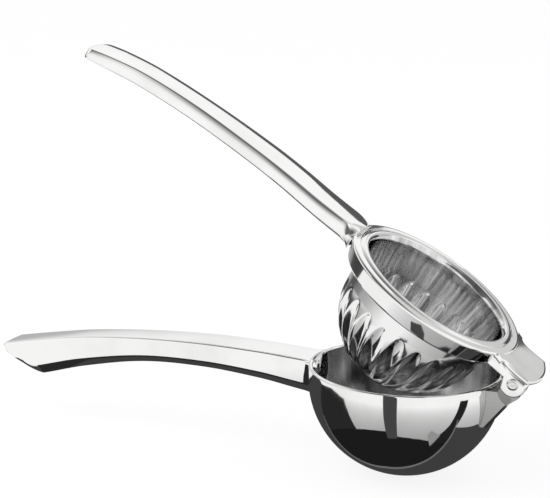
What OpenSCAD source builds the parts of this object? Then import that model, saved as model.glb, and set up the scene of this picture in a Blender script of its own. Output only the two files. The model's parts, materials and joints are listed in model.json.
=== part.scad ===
// Hinged lemon squeezer of polished stainless steel.
// A fluted press cup swings down into a plain press bowl about one riveted hinge pin.
// Every shape is first laid out around the bowl's rim: X runs from the bowl towards the hinge,
// Z is up, and the rim lies at Z = 0. The cup's arm is laid out closed and then swung open.

/* [Press bowl] */
// Outer diameter of the press bowl
bowl_d = 72; // [64:1:84]
// Thickness of the drawn bowl's wall
bowl_wall = 1.5; // [1:0.1:2.2]
// Height of the straight wall above the hemisphere
bowl_skirt = 4.2; // [2.5:0.1:8]

/* [Press cup] */
// Gap all round between the closed cup and the bowl, left for the peel
peel_gap = 5.8; // [4:0.1:8]
// Thickness of the drawn cup's wall
cup_wall = 1.2; // [0.8:0.1:1.6]
// How much the cup's wall leans outwards from its equator to its mouth
cup_draft = 1.3; // [0.5:0.1:2]
// Width of the rolled rim, outside the cup's wall
rim_w = 2.8; // [2:0.1:3.2]
// Height of the rolled rim over its seat
rim_h = 1.7; // [1.2:0.1:2.4]

/* [Flutes] */
// Hollow flutes round the cup
flute_count = 24; // [18:1:24]
// Depth of a flute at its deepest
flute_depth = 0.8; // [0.5:0.1:0.9]

/* [Cup ring] */
// Height of the closed ring's foot over the bowl's rim
ring_lift = 2.3; // [1.8:0.1:4]
// Height of the ring from its foot to its flat land
ring_h = 7.2; // [6:0.1:10]
// How much the ring's outer wall leans in towards its foot
ring_lean = 2.2; // [1:0.1:2.4]
// Radius of the ring's outer top edge
ring_edge = 0.9; // [0.4:0.1:1.2]

/* [Hinge] */
// Distance of the pin's axis outside the bowl's wall
hinge_reach = 7; // [6.6:0.1:9]
// Height of the pin's axis over the bowl's rim
hinge_lift = 2.6; // [2.4:0.1:3.4]
// Diameter of the hinge pin
pin_d = 3; // [2.4:0.1:3.4]
// Diameter of the pin's riveted heads
pin_head_d = 4.4; // [4:0.1:5.4]
// Height of the pin's riveted heads
pin_head_h = 0.7; // [0.4:0.1:1.2]
// Width of the hinge across its two ears
hinge_w = 26.4; // [22:0.2:30]
// Thickness of each ear
ear_t = 4.2; // [3:0.1:5]
// Outer radius of the ears round the pin
ear_r = 4.9; // [4.8:0.1:5.6]
// Bevel on the ears' outer edge
ear_bevel = 0.6; // [0.2:0.1:0.9]
// Radius of the bracket's barrel round the pin
barrel_r = 3.2; // [2.6:0.1:3.4]

/* [Tongue] */
// Reach of the tongue's heel beyond the pin's axis
heel_reach = 7; // [5.6:0.1:8]
// Thickness of the tongue
tongue_t = 2.2; // [1.6:0.1:2.8]
// How far the tongue stands out past each ear's face
tongue_lip = 0.3; // [0:0.1:0.8]
// How far the middle of the heel bulges past its corners
heel_bulge = 3; // [1:0.1:4]

/* [Bracket] */
// Depth of the bracket's foot on the bowl, below the rim
bracket_depth = 14.8; // [12:0.1:18]
// Reach of the bracket's cheeks outside the bowl
cheek_reach = 5.2; // [4:0.1:5.6]
// Bevel along the bracket's lower edges
bracket_bevel = 1; // [0.4:0.1:1.6]

/* [Bowl handle] */
// Reach of the bowl's handle, from the bowl's wall to its tip
bowl_handle_len = 130.6; // [110:1:150]
// Width of the bowl's handle where it leaves the bowl
bowl_handle_w = 16.4; // [14:0.2:20]
// Radius of the hollow blend between this handle and the bowl
bowl_handle_blend = 2.8; // [1.5:0.1:4]

/* [Cup handle] */
// Reach of the cup's handle, from the ring's wall to its tip
cup_handle_len = 123.5; // [104:1:140]
// Width of the cup's handle where it leaves the ring
cup_handle_w = 17.4; // [15:0.2:20]
// Radius of the hollow blend between this handle and the ring
cup_handle_blend = 6; // [3:0.5:8]

/* [Pose] */
// Angle between the closed arms and the arms as they stand
open_angle = 32.6; // [0:0.1:90]

/* [Fits] */
// Running clearance between the pin and the barrel, on the radius
pin_clearance = 0.05; // [0.02:0.01:0.1]
// Clearance between the pin and the ears that it is riveted through
rivet_clearance = 0.01; // [0.01:0.01:0.03]
// Side clearance between the barrel and each ear
barrel_side_gap = 0.2; // [0.1:0.05:0.4]
// Clearance under the tongue, round the barrel
barrel_top_gap = 0.3; // [0.2:0.05:0.5]
// Gap between welded pieces, filled by the weld
weld_gap = 0.05; // [0.02:0.01:0.1]
// Gap between the press cup and the ring that holds it
cup_seat_gap = 0.1; // [0.05:0.01:0.2]

/* [Hidden] */

steel = [0.80, 0.81, 0.82];
bright_steel = [0.88, 0.89, 0.90];
satin_steel = [0.70, 0.71, 0.72];
round_fn = 128;
small_fn = 48;
overrun = 1;                      // how far cutters reach past what they cut

bowl_r = bowl_d / 2;
bowl_depth = bowl_r + bowl_skirt;
ball_z = -bowl_skirt;             // centre of the bowl's and of the closed cup's hemisphere

cup_r = bowl_r - bowl_wall - peel_gap;
cup_mouth_r = cup_r + cup_draft;
rim_r = cup_mouth_r + rim_w;
flute_half = 0.92 * PI * cup_r / flute_count;
// Latitude below the equator, share of the flute's depth, share of the ball's radius
flute_stretches = [[13, 1, 0.16], [31, 0.78, 0.14], [46, 0.5, 0.118]];
ring_foot_z = ring_lift;
land_z = ring_foot_z + ring_h;
seat_z = land_z - 1.25;           // floor of the recess that the cup's rim sits in
ring_r = bowl_r;
ring_foot_r = ring_r - ring_lean;

pin_r = pin_d / 2;
hinge_x = bowl_r + hinge_reach;
hinge_z = hinge_lift;
ear_inner_y = hinge_w / 2 - ear_t;
barrel_half = ear_inner_y - barrel_side_gap;
tongue_half = hinge_w / 2 + tongue_lip;

tongue_x0 = ring_r - 3;           // where the tongue leaves the ring's land
heel_x = hinge_x + heel_reach;
nose_r = tongue_t / 2;
heel_top_z = hinge_z + ear_r;
tongue_drop = land_z - 0.2 - heel_top_z;
tongue_fall = 3.6;                // how early the tongue's top levels out

bowl_handle_x = -bowl_r;
cup_handle_x = -ring_r;

// The part stands on the bowl's lowest point, midway between its two ends along X.
nose_dx = heel_reach - nose_r;
nose_dz = heel_top_z - nose_r - hinge_z;
end_x = hinge_x + nose_dx * cos(open_angle) + nose_dz * sin(open_angle) + nose_r;
tip_x = bowl_handle_x - bowl_handle_len;
middle_x = (tip_x + end_x) / 2;

// ---- Curves ----

function unit(v) = v / norm(v);
function bezier(a, b, c, t) = (1 - t) * (1 - t) * a + 2 * t * (1 - t) * b + t * t * c;

// Slope of a table's column at one of its rows, for a smooth curve through all rows
function slope(table, i, k) =
    let (a = max(i - 1, 0), b = min(i + 1, len(table) - 1))
    (table[b][k] - table[a][k]) / (table[b][0] - table[a][0]);

// Row of a table whose stretch holds u
function row(table, u, i = 0) =
    i >= len(table) - 2 || u <= table[i + 1][0] ? i : row(table, u, i + 1);

// Smooth curve through column k of a table whose first column is u
function along(table, u, k) =
    let (i = row(table, u),
         h = table[i + 1][0] - table[i][0],
         t = (u - table[i][0]) / h,
         a = table[i][k],
         b = table[i + 1][k])
    a + (b - a) * t * t * (3 - 2 * t)
      + h * t * (1 - t) * ((1 - t) * slope(table, i, k) - t * slope(table, i + 1, k));

// Quarter of a rounded end: 1 away from the end, falling to 0 at it
function round_end(s, reach, power) =
    s >= reach ? 1 : pow(max(0, 1 - pow(1 - s / reach, power)), 1 / power);

// ---- Handles: a loft of rounded sections ----

corner_steps = 3;

// Rounds the inner corners of an open outline by curves that start at most d from each corner
function soften(points, d) =
    let (last = len(points) - 1)
    [for (i = [0 : last])
        let (p = points[i],
             before = points[max(i - 1, 0)],
             after = points[min(i + 1, last)])
        each i == 0 || i == last ? [p] :
            [for (s = [0 : corner_steps])
                bezier(p + unit(before - p) * min(d, norm(before - p) * 0.45), p,
                       p + unit(after - p) * min(d, norm(after - p) * 0.45), s / corner_steps)]];

// One section across a handle. Half of its outline runs from the crown down to the belly.
function section(x, top, bottom, top_w, side_w, shoulder, chamfer_w, chamfer_h, crown, edge) =
    let (half = soften([[0, top + crown], [top_w * 0.5, top + crown * 0.75], [top_w, top],
                        [side_w, top - shoulder], [side_w, bottom + chamfer_h],
                        [side_w - chamfer_w, bottom], [0, bottom]], edge),
         n = len(half))
    [for (p = half) [x, p[0], p[1]], for (i = [n - 2 : -1 : 1]) [x, -half[i][0], half[i][1]]];

// Skins a row of sections that all have the same number of points
module loft(sections) {
    n = len(sections[0]);
    count = len(sections);
    polyhedron(
        points = [for (s = sections) each s],
        faces = [
            [for (j = [0 : n - 1]) j],
            [for (j = [n - 1 : -1 : 0]) (count - 1) * n + j],
            for (i = [0 : count - 2], j = [0 : n - 1])
                let (a = i * n + j, b = i * n + (j + 1) % n)
                each [[a, a + n, b], [b, a + n, b + n]]
        ],
        convexity = 6);
}

// Solid shape of the outside of the bowl, grown by g: a hemisphere with a straight skirt
module bowl_outside(g, top) {
    translate([0, 0, ball_z]) {
        intersection() {
            sphere(r = bowl_r + g, $fn = round_fn);
            translate([0, 0, -bowl_r - g]) cylinder(h = bowl_r + g, r = bowl_r + g + overrun);
        }
        cylinder(h = bowl_skirt + top, r = bowl_r + g, $fn = round_fn);
    }
}

// Concave blends at both sides of a handle, between its straight side and a round wall
module side_blends(wall_r, half_w, blend, low, high) {
    cy = half_w + blend;
    cx = -sqrt(pow(wall_r + blend, 2) - cy * cy);
    reach = wall_r / (wall_r + blend);
    for (s = [-1, 1])
        translate([0, 0, low]) linear_extrude(height = high - low)
            difference() {
                polygon([[cx, s * half_w * 0.6], [cx, s * half_w], [cx * reach, s * cy * reach],
                         [cx * reach + 4, s * half_w * 0.6]]);
                translate([cx, s * cy]) circle(r = blend, $fn = small_fn);
            }
}

// ---- Bowl handle ----

// Share of the reach, top, bottom and half width as a share of the width at the root
bowl_handle_rows = [
    [0.00, -0.2, -11.3, 0.51],
    [0.15, 0.7, -9.5, 0.49],
    [0.33, 0.8, -8.5, 0.47],
    [0.53, -0.5, -10.1, 0.42],
    [0.73, -3.3, -15.6, 0.395],
    [0.87, -6.6, -20.4, 0.41],
    [1.00, -10.1, -24.4, 0.445]
];
bowl_tip_from = 0.87;             // where the raked, rounded end begins
bowl_tip_power = 1.6;
bowl_handle_edge = 0.6;
bowl_handle_steps = 22;
bowl_tip_steps = 9;

function bowl_handle_section(u) =
    let (top = along(bowl_handle_rows, u, 1),
         low = along(bowl_handle_rows, min(u, bowl_tip_from), 2),
         t = max(0, (u - bowl_tip_from) / (1 - bowl_tip_from)),
         lift = 1 - pow(max(0, 1 - pow(t, bowl_tip_power)), 1 / bowl_tip_power),
         bottom = low + lift * (top - 0.9 - low),
         tip = 1.2 * (round_end((1 - u) * bowl_handle_len, 1.2, 2) - 1),
         w = along(bowl_handle_rows, u, 3) * bowl_handle_w + tip,
         deep = top - bottom)
    section(bowl_handle_x - u * bowl_handle_len, top + tip * 0.4, bottom, w - 0.45, w, 0.5,
            min(2.4, deep * 0.25), deep * 0.27, 0.15, bowl_handle_edge);

module bowl_handle() {
    root = -6 / bowl_handle_len;
    color(bright_steel)
    difference() {
        union() {
            loft([for (i = [0 : bowl_handle_steps])
                      bowl_handle_section(root + (bowl_tip_from - root) * i / bowl_handle_steps),
                  for (i = [1 : bowl_tip_steps])
                      bowl_handle_section(bowl_tip_from
                          + (1 - bowl_tip_from) * sin(90 * i / bowl_tip_steps))]);
            side_blends(bowl_r, bowl_handle_w * 0.5, bowl_handle_blend,
                        bowl_handle_rows[0][2] + 2.2, bowl_handle_rows[0][1] - 0.6);
        }
        bowl_outside(weld_gap, 10);
    }
}

// ---- Cup handle ----

// Share of the reach, top over the ring's land, thickness, half width of the top, half width
cup_handle_rows = [
    [0.00, 1.0, 5.2, 0.41, 0.50],
    [0.12, 0.9, 5.1, 0.40, 0.50],
    [0.25, 1.5, 5.0, 0.41, 0.49],
    [0.38, 1.5, 5.0, 0.41, 0.475],
    [0.60, 0.4, 5.1, 0.37, 0.43],
    [0.80, -2.0, 5.1, 0.39, 0.435],
    [0.92, -4.7, 4.9, 0.435, 0.475],
    [1.00, -7.2, 4.3, 0.45, 0.49]
];
cup_tip_reach = 3.4;              // length of the handle's rounded end
cup_tip_power = 2.4;
nose_x = rim_r + 0.7;             // where the handle's nose ends on the ring's land
nose_len = 8;
cup_handle_steps = 26;
cup_tip_steps = 7;

function cup_handle_section(x) =
    let (u = max(0, (cup_handle_x - x) / cup_handle_len),
         tip = round_end(x - cup_handle_x + cup_handle_len, cup_tip_reach, cup_tip_power),
         nose = round_end(-nose_x - x, nose_len, 2),
         ends = max(0.04, min(tip, nose)),
         top = land_z + along(cup_handle_rows, u, 1) - 1.1 * (1 - round_end(
             x - cup_handle_x + cup_handle_len, 1.3, 2)),
         thick = along(cup_handle_rows, u, 2) - 1.6 * (1 - round_end(
             x - cup_handle_x + cup_handle_len, 1.3, 2)))
    section(x, top, top - thick, along(cup_handle_rows, u, 3) * cup_handle_w * ends,
            along(cup_handle_rows, u, 4) * cup_handle_w * ends, 0.6, 1.1 * ends, 1, 0.25, 0.8);

module cup_handle() {
    far = cup_handle_x - cup_handle_len;
    near = -nose_x - 0.02;
    body_end = -nose_x - nose_len;
    body_start = far + cup_tip_reach;
    color(bright_steel) pose_arm()
    difference() {
        union() {
            loft([for (i = [0 : cup_tip_steps])
                      cup_handle_section(near - nose_len * pow(i / cup_tip_steps, 2)),
                  for (i = [1 : cup_handle_steps])
                      cup_handle_section(body_end
                          + (body_start - body_end) * i / cup_handle_steps),
                  for (i = [1 : cup_tip_steps])
                      cup_handle_section(far + cup_tip_reach * pow(1 - i / cup_tip_steps, 2)
                          + 0.01)]);
            side_blends(ring_r, cup_handle_w * 0.48, cup_handle_blend, land_z - 3.8, land_z - 0.4);
        }
        ring_outside(weld_gap);
    }
}

// ---- Press bowl ----

module press_bowl() {
    inner_r = bowl_r - bowl_wall;
    lip = bowl_wall / 2;
    color(steel)
    rotate_extrude($fn = round_fn) {
        difference() {
            union() {
                translate([0, ball_z]) intersection() {
                    circle(r = bowl_r, $fn = round_fn);
                    translate([0, -bowl_r]) square([bowl_r, bowl_r]);
                }
                translate([0, ball_z]) square([bowl_r, bowl_skirt - lip]);
            }
            translate([0, ball_z]) intersection() {
                circle(r = inner_r, $fn = round_fn);
                translate([0, -bowl_r]) square([bowl_r, bowl_r]);
            }
            translate([-overrun, ball_z]) square([inner_r + overrun, bowl_skirt + overrun]);
        }
        translate([bowl_r - lip, -lip]) circle(r = lip, $fn = small_fn);
    }
}

// ---- Hinge bracket ----

// Side outline of the bracket's foot and cheeks, from the bowl out to the hinge
module cheek_outline() {
    tip = bowl_r + cheek_reach;
    foot = sqrt(pow(bowl_r, 2) - pow(bracket_depth + ball_z, 2));
    polygon([[bowl_r - 6, -1], [hinge_x - ear_r - 0.3, -1], [tip, hinge_z - 7.6],
             [tip, hinge_z - 8.8], [foot, -bracket_depth], [bowl_r - 6, -bracket_depth]]);
}

// Side outline of the neck that carries the barrel between the ears
module neck_outline() {
    tip = bowl_r + cheek_reach;
    polygon([[hinge_x - barrel_r, hinge_z], [hinge_x - barrel_r - 0.9, hinge_z - 3.4],
             [bowl_r - 2, hinge_z - 5.2], [bowl_r - 2, hinge_z - 9.5], [tip, hinge_z - 8.8],
             [hinge_x + 1.4, hinge_z - 6.4], [hinge_x + barrel_r - 1.1, hinge_z - 3.8],
             [hinge_x + barrel_r, hinge_z]]);
}

module hinge_bracket() {
    tip = bowl_r + cheek_reach;
    foot = sqrt(pow(bowl_r, 2) - pow(bracket_depth + ball_z, 2));
    half = hinge_w / 2 - 0.2;
    rake = atan2(bracket_depth + hinge_z - 8.8, tip - foot);
    color(steel)
    difference() {
        union() {
            difference() {
                across(half) cheek_outline();
                for (s = [-1, 1])
                    translate([hinge_x + 1, s * (barrel_half + ear_t / 2 + overrun), hinge_z - 2.1])
                        rotate([90, 0, 0])
                            cylinder(h = ear_t + 2 * overrun, r = ear_r + 1.7, center = true,
                                     $fn = small_fn);
            }
            across(barrel_half) neck_outline();
            translate([hinge_x, 0, hinge_z]) rotate([90, 0, 0])
                cylinder(h = 2 * barrel_half, r = barrel_r, center = true, $fn = small_fn);
        }
        translate([hinge_x, 0, hinge_z]) rotate([90, 0, 0])
            cylinder(h = hinge_w, r = pin_r + pin_clearance, center = true, $fn = small_fn);
        for (s = [-1, 1])
            translate([tip, s * half, hinge_z - 8.8]) rotate([0, -rake, 0]) rotate([45, 0, 0])
                cube([60, bracket_bevel * sqrt(2), bracket_bevel * sqrt(2)], center = true);
        bowl_outside(weld_gap, 0);
    }
}

// ---- Cup ring with its tongue and ears ----

// Outline of the ring's solid section from the axis out, grown by g
module ring_section(g) {
    edge = ring_edge;
    polygon([[0, ring_foot_z - g], [ring_foot_r - 0.7, ring_foot_z - g],
             [ring_foot_r + g, ring_foot_z + 0.6],
             for (a = [0 : 15 : 90])
                 [ring_r - edge + (edge + g) * cos(a), land_z - edge + (edge + g) * sin(a)],
             [0, land_z + g]]);
}

module ring_outside(g) {
    rotate_extrude($fn = round_fn) ring_section(g);
}

// Height of the tongue's top at x
function tongue_top(x) =
    heel_top_z + tongue_drop * pow(max(0, (heel_x - x) / (heel_x - tongue_x0)), tongue_fall);

// Side outline of the tongue, reaching past its heel
module tongue_outline() {
    steps = 14;
    start = tongue_x0 - 1.5;
    xs = [for (i = [0 : steps]) start + (heel_x + overrun - start) * i / steps];
    polygon([for (x = xs) [x, min(tongue_top(x), land_z - 0.2)],
             for (i = [steps : -1 : 0]) [xs[i], min(tongue_top(xs[i]), land_z - 0.2) - tongue_t]]);
}

// Round of the heel: a broad disc with a full round edge, which bulges past the tongue's corners
module heel_round() {
    bulge_r = (pow(tongue_half, 2) + pow(heel_bulge, 2)) / (2 * heel_bulge);
    translate([heel_x - bulge_r, 0, 0]) rotate_extrude($fn = round_fn) {
        square([bulge_r - 3 * nose_r, land_z + overrun]);
        translate([0, heel_top_z - 2 * nose_r]) square([bulge_r - nose_r, 2 * nose_r]);
        translate([bulge_r - nose_r, heel_top_z - nose_r]) circle(r = nose_r, $fn = small_fn);
    }
}

// Side outline of an ear, inset by d: a disc round the pin and a web up to the tongue
module ear_outline(d) {
    web_end = hinge_x + 3;
    translate([hinge_x, hinge_z]) circle(r = ear_r - d, $fn = small_fn);
    polygon([[ring_foot_r - 4, ring_foot_z + 0.6 + d], [hinge_x - 2, ring_foot_z + 0.6 + d],
             [web_end, hinge_z],
             for (i = [0 : 6])
                 let (x = web_end + (ring_foot_r - 4 - web_end) * i / 6)
                 [x, min(tongue_top(x), land_z - 0.2) - 0.6]]);
}

// Draws a side outline from -half to +half across the hinge
module across(half) {
    rotate([90, 0, 0]) linear_extrude(height = 2 * half, center = true) children();
}

module ears() {
    flat = ear_t - ear_bevel;
    for (s = [-1, 1]) {
        translate([0, s * (ear_inner_y + flat / 2), 0]) across(flat / 2) ear_outline(0);
        translate([0, s * (hinge_w / 2 - ear_bevel / 2), 0]) across(ear_bevel / 2)
            ear_outline(ear_bevel);
        translate([hinge_x, s * (hinge_w / 2 - ear_bevel), hinge_z]) rotate([-s * 90, 0, 0])
            cylinder(h = ear_bevel, r1 = ear_r, r2 = ear_r - ear_bevel, $fn = small_fn);
    }
}

module cup_ring() {
    bore = cup_mouth_r + cup_seat_gap;
    color(bright_steel) pose_arm()
    difference() {
        union() {
            ring_outside(0);
            intersection() {
                across(tongue_half) tongue_outline();
                heel_round();
            }
            ears();
        }
        translate([0, 0, ring_foot_z - overrun])
            cylinder(h = ring_h + 2 * overrun, r = bore, $fn = round_fn);
        translate([0, 0, seat_z])
            cylinder(h = ring_h, r = rim_r + cup_seat_gap, $fn = round_fn);
        translate([hinge_x, 0, hinge_z]) rotate([90, 0, 0]) {
            cylinder(h = 2 * ear_inner_y, r = barrel_r + barrel_top_gap, center = true,
                     $fn = small_fn);
            cylinder(h = hinge_w + 2 * overrun, r = pin_r + rivet_clearance, center = true,
                     $fn = small_fn);
        }
    }
}

// ---- Press cup ----

// Half outline of the cup's body, inset by d from its outside
module cup_outline(d) {
    r = cup_r - d;
    translate([0, ball_z]) intersection() {
        circle(r = r, $fn = round_fn);
        translate([0, -r]) square([r, r]);
    }
    polygon([[0, ball_z], [r, ball_z], [r + cup_draft, seat_z + rim_h],
             [0, seat_z + rim_h]]);
}

// Half outline of the rolled rim: a low dome over a flat underside
module rim_outline() {
    inner = cup_mouth_r - cup_wall;
    outer = rim_r;
    dome_r = (pow((outer - inner) / 2, 2) + rim_h * rim_h) / (2 * rim_h);
    intersection() {
        translate([inner, seat_z + cup_seat_gap / 2]) square([outer - inner, rim_h]);
        translate([(inner + outer) / 2 + 0.3, seat_z + rim_h - dome_r]) circle(r = dome_r,
                                                                       $fn = round_fn);
    }
}

// Tool that presses one stretch of a flute: a shallow round bar laid along the ball's side at a
// latitude. Grown by g, it gives the ridge that the same flute raises on the wall's inside.
module flute_bar(latitude, depth, r, g) {
    skin = depth - r - g;             // where the wall's surface lies, seen from the bar's axis
    rotate([0, latitude, 0]) translate([cup_r + r - depth, 0, 0])
        linear_extrude(height = 2 * sqrt(2 * depth * cup_r) + 3, center = true)
            intersection() {
                circle(r = r + g, $fn = small_fn);
                translate([-r - g - overrun, -flute_half])
                    square([skin + r + g + overrun + 0.5, 2 * flute_half]);
            }
}

module flutes(g) {
    for (i = [0 : flute_count - 1])
        rotate([0, 0, (i + 0.5) * 360 / flute_count]) translate([0, 0, ball_z])
            for (f = flute_stretches)
                flute_bar(f[0], flute_depth * f[1], cup_r * f[2], g);
}

module press_cup() {
    color(satin_steel) pose_arm() {
        difference() {
            rotate_extrude($fn = round_fn) cup_outline(0);
            flutes(0);
            difference() {
                rotate_extrude($fn = round_fn) cup_outline(cup_wall);
                flutes(cup_wall);
            }
            translate([0, 0, seat_z + cup_seat_gap])
                cylinder(h = rim_h + overrun, r = bowl_r, $fn = round_fn);
        }
        rotate_extrude($fn = round_fn) rim_outline();
    }
}

// ---- Hinge pin ----

module hinge_pin() {
    cap_r = (pow(pin_head_d / 2, 2) + pin_head_h * pin_head_h) / (2 * pin_head_h);
    color(steel) pose_arm()
    translate([hinge_x, 0, hinge_z]) {
        rotate([90, 0, 0]) cylinder(h = hinge_w, r = pin_r, center = true, $fn = small_fn);
        for (s = [-1, 1])
            translate([0, s * hinge_w / 2, 0]) rotate([-s * 90, 0, 0])
                intersection() {
                    cylinder(h = pin_head_h, d = pin_head_d, $fn = small_fn);
                    translate([0, 0, pin_head_h - cap_r]) sphere(r = cap_r, $fn = small_fn);
                }
    }
}

// ---- Placing ----

// Swings the cup's closed arm open about the pin
module pose_arm() {
    translate([hinge_x, 0, hinge_z]) rotate([0, open_angle, 0])
        translate([-hinge_x, 0, -hinge_z]) children();
}

// Sets the origin under the middle of the part, level with the bowl's lowest point
module stand() {
    translate([-middle_x, 0, bowl_depth]) children();
}

stand() press_bowl();
stand() bowl_handle();
stand() hinge_bracket();
stand() cup_ring();
stand() press_cup();
stand() cup_handle();
stand() hinge_pin();
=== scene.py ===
import json
import math

import bpy
import numpy as np
from mathutils import Matrix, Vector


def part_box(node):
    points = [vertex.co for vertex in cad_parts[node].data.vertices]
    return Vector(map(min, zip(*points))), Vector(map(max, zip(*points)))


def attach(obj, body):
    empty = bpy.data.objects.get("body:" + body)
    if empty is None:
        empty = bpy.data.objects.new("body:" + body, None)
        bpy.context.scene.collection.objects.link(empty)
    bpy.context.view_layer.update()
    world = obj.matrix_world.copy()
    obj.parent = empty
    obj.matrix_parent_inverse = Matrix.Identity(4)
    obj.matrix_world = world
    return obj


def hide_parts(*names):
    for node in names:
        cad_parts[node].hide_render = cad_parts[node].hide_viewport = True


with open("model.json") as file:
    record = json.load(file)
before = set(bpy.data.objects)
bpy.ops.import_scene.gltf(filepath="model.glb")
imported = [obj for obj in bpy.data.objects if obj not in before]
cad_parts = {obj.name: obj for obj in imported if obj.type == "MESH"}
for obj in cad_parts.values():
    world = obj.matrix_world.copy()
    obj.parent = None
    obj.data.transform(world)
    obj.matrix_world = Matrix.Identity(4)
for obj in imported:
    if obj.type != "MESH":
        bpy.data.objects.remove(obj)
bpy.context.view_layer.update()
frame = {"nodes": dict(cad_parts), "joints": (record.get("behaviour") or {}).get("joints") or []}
print("Frame loaded:", ", ".join(sorted(frame["nodes"])))

# Everything is laid out in millimetres round the press bowl's mouth: X runs towards the hinge,
# Z is up, the rim lies at Z = 0, and the upper arm is laid out closed. toWorld() swings the arm
# open about the pin and turns the result into metres in the frame's own axes.
mm = 0.001
openAngle = 32.6                      # degrees between the closed arm and the arm as it stands
bowlLow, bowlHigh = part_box("press_bowl")
pinPlace = frame["joints"][0]["pos_m"]
bowlRadius = (bowlHigh.x - bowlLow.x) / 2 / mm
bowlAxisX = (bowlHigh.x + bowlLow.x) / 2 / mm
rimHeight = bowlHigh.z / mm
hingeX = pinPlace[0] / mm - bowlAxisX
hingeZ = pinPlace[2] / mm - rimHeight


def swing(points):
    # Turns points about the pin's axis: x' = x cos a + z sin a, z' = z cos a - x sin a
    a = math.radians(openAngle)
    x = points[..., 0] - hingeX
    z = points[..., 2] - hingeZ
    return np.stack([hingeX + x * math.cos(a) + z * math.sin(a), points[..., 1],
                     hingeZ + z * math.cos(a) - x * math.sin(a)], axis=-1)


def toWorld(points, onArm):
    if onArm:
        points = swing(points)
    return (points + np.array([bowlAxisX, 0.0, rimHeight])) * mm


def addObject(name, data):
    thing = bpy.data.objects.new(name, data)
    bpy.context.scene.collection.objects.link(thing)
    return thing


def gridFaces(rows, cols):
    # One quad between neighbouring rows and columns; the last column joins the first
    i, j = np.meshgrid(np.arange(rows - 1), np.arange(cols), indexing="ij")
    k = (j + 1) % cols
    quads = np.stack([i * cols + j, i * cols + k, (i + 1) * cols + k, (i + 1) * cols + j], axis=-1)
    return quads.reshape(-1, 4)


def volumeOf(points, quads):
    # Six times the signed volume behind the quads, as a sum of scalar triple products
    a, b, c, d = (points[quads[:, k]] for k in range(4))
    return np.sum(np.cross(a, b) * c) + np.sum(np.cross(a, c) * d)


def makeMesh(name, parts, onArm, materials):
    # Each part is a grid of rows by columns, wrapped round its columns. Its first and last rows
    # are closed by a flat face, or by a point where the row has shrunk to one. A ring-shaped part
    # closes on itself and needs neither.
    vertices, faces, slots, coords = [], [], [], []
    start = 0
    for part in parts:
        grid = part["grid"]
        rows, cols = grid.shape[:2]
        points = grid.reshape(-1, 3)
        quads = gridFaces(rows, cols)
        outward = volumeOf(points - points.mean(axis=0), quads) > 0
        if not outward:
            quads = quads[:, ::-1]
        finish = np.repeat(part.get("finish", np.zeros(rows - 1, int)), cols)
        faces += (quads + start).tolist()
        slots += finish.tolist()
        first = np.arange(cols)
        last = first + (rows - 1) * cols
        for row, turn, slot in ((first, outward, finish[0]), (last, not outward, finish[-1])):
            isPoint = np.ptp(points[row], axis=0).max() < 1e-6
            if not isPoint and not part.get("ringShaped"):
                cap = row[::-1] if turn else row
                faces.append((cap + start).tolist())
                slots.append(int(slot))
        vertices.append(points)
        coords.append(part.get("uv", np.zeros((rows, cols, 2))).reshape(-1, 2))
        start += len(points)
    mesh = bpy.data.meshes.new(name)
    mesh.from_pydata(toWorld(np.concatenate(vertices), onArm).tolist(), [], faces)
    mesh.polygons.foreach_set("material_index", np.array(slots, np.int32))
    mesh.polygons.foreach_set("use_smooth", np.ones(len(faces), bool))
    loopVertex = np.zeros(len(mesh.loops), np.int32)
    mesh.loops.foreach_get("vertex_index", loopVertex)
    layer = mesh.uv_layers.new(name="Surface")
    layer.data.foreach_set("uv", np.concatenate(coords)[loopVertex].astype(np.float32).ravel())
    mesh.update()
    for material in materials:
        mesh.materials.append(material)
    piece = addObject(name, mesh)
    merge = piece.modifiers.new("Close", "WELD")      # joins each shrunk row to one point
    merge.merge_threshold = 1e-7
    return piece


def softOutline(corners, reach, steps=7, support=0.06):
    # Rounds the inner corners of an open outline with quadratic curves that start at most reach
    # from each corner. A support point beside each curve keeps the straight stretches flat.
    # corners is (..., corner, 2); the result is (..., point, 2).
    curveShare, supportShare = 0.42, 0.05      # most of a side that its curve and support take
    t = np.linspace(0, 1, steps)[:, None]
    out = [corners[..., :1, :]]
    for i in range(1, corners.shape[-2] - 1):
        p = corners[..., i:i + 1, :]
        before = corners[..., i - 1:i, :] - p
        after = corners[..., i + 1:i + 2, :] - p
        lengthBefore = np.linalg.norm(before, axis=-1, keepdims=True) + 1e-9
        lengthAfter = np.linalg.norm(after, axis=-1, keepdims=True) + 1e-9
        a = p + before / lengthBefore * np.minimum(reach[i], lengthBefore * curveShare)
        c = p + after / lengthAfter * np.minimum(reach[i], lengthAfter * curveShare)
        out.append(a + before / lengthBefore * np.minimum(support, lengthBefore * supportShare))
        out.append((1 - t) ** 2 * a + 2 * t * (1 - t) * p + t ** 2 * c)
        out.append(c + after / lengthAfter * np.minimum(support, lengthAfter * supportShare))
    out.append(corners[..., -1:, :])
    return np.concatenate(out, axis=-2)


def curveThrough(table, u, column):
    # Smooth cubic through one column of a table whose first column is u, with the slope at each
    # row taken from its two neighbours
    table = np.array(table)
    x, y = table[:, 0], table[:, column]
    low = np.maximum(np.arange(len(x)) - 1, 0)
    high = np.minimum(np.arange(len(x)) + 1, len(x) - 1)
    slope = (y[high] - y[low]) / (x[high] - x[low])
    i = np.clip(np.searchsorted(x, u, side="left") - 1, 0, len(x) - 2)
    h = x[i + 1] - x[i]
    t = (u - x[i]) / h
    return (y[i] + (y[i + 1] - y[i]) * t * t * (3 - 2 * t)
            + h * t * (1 - t) * ((1 - t) * slope[i] - t * slope[i + 1]))


def roundEnd(distance, reach, power):
    # Quarter of a rounded end: 1 away from the end, falling to 0 at it
    t = np.clip(1 - distance / reach, 0, 1)
    return (1 - t ** power) ** (1 / power)


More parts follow.
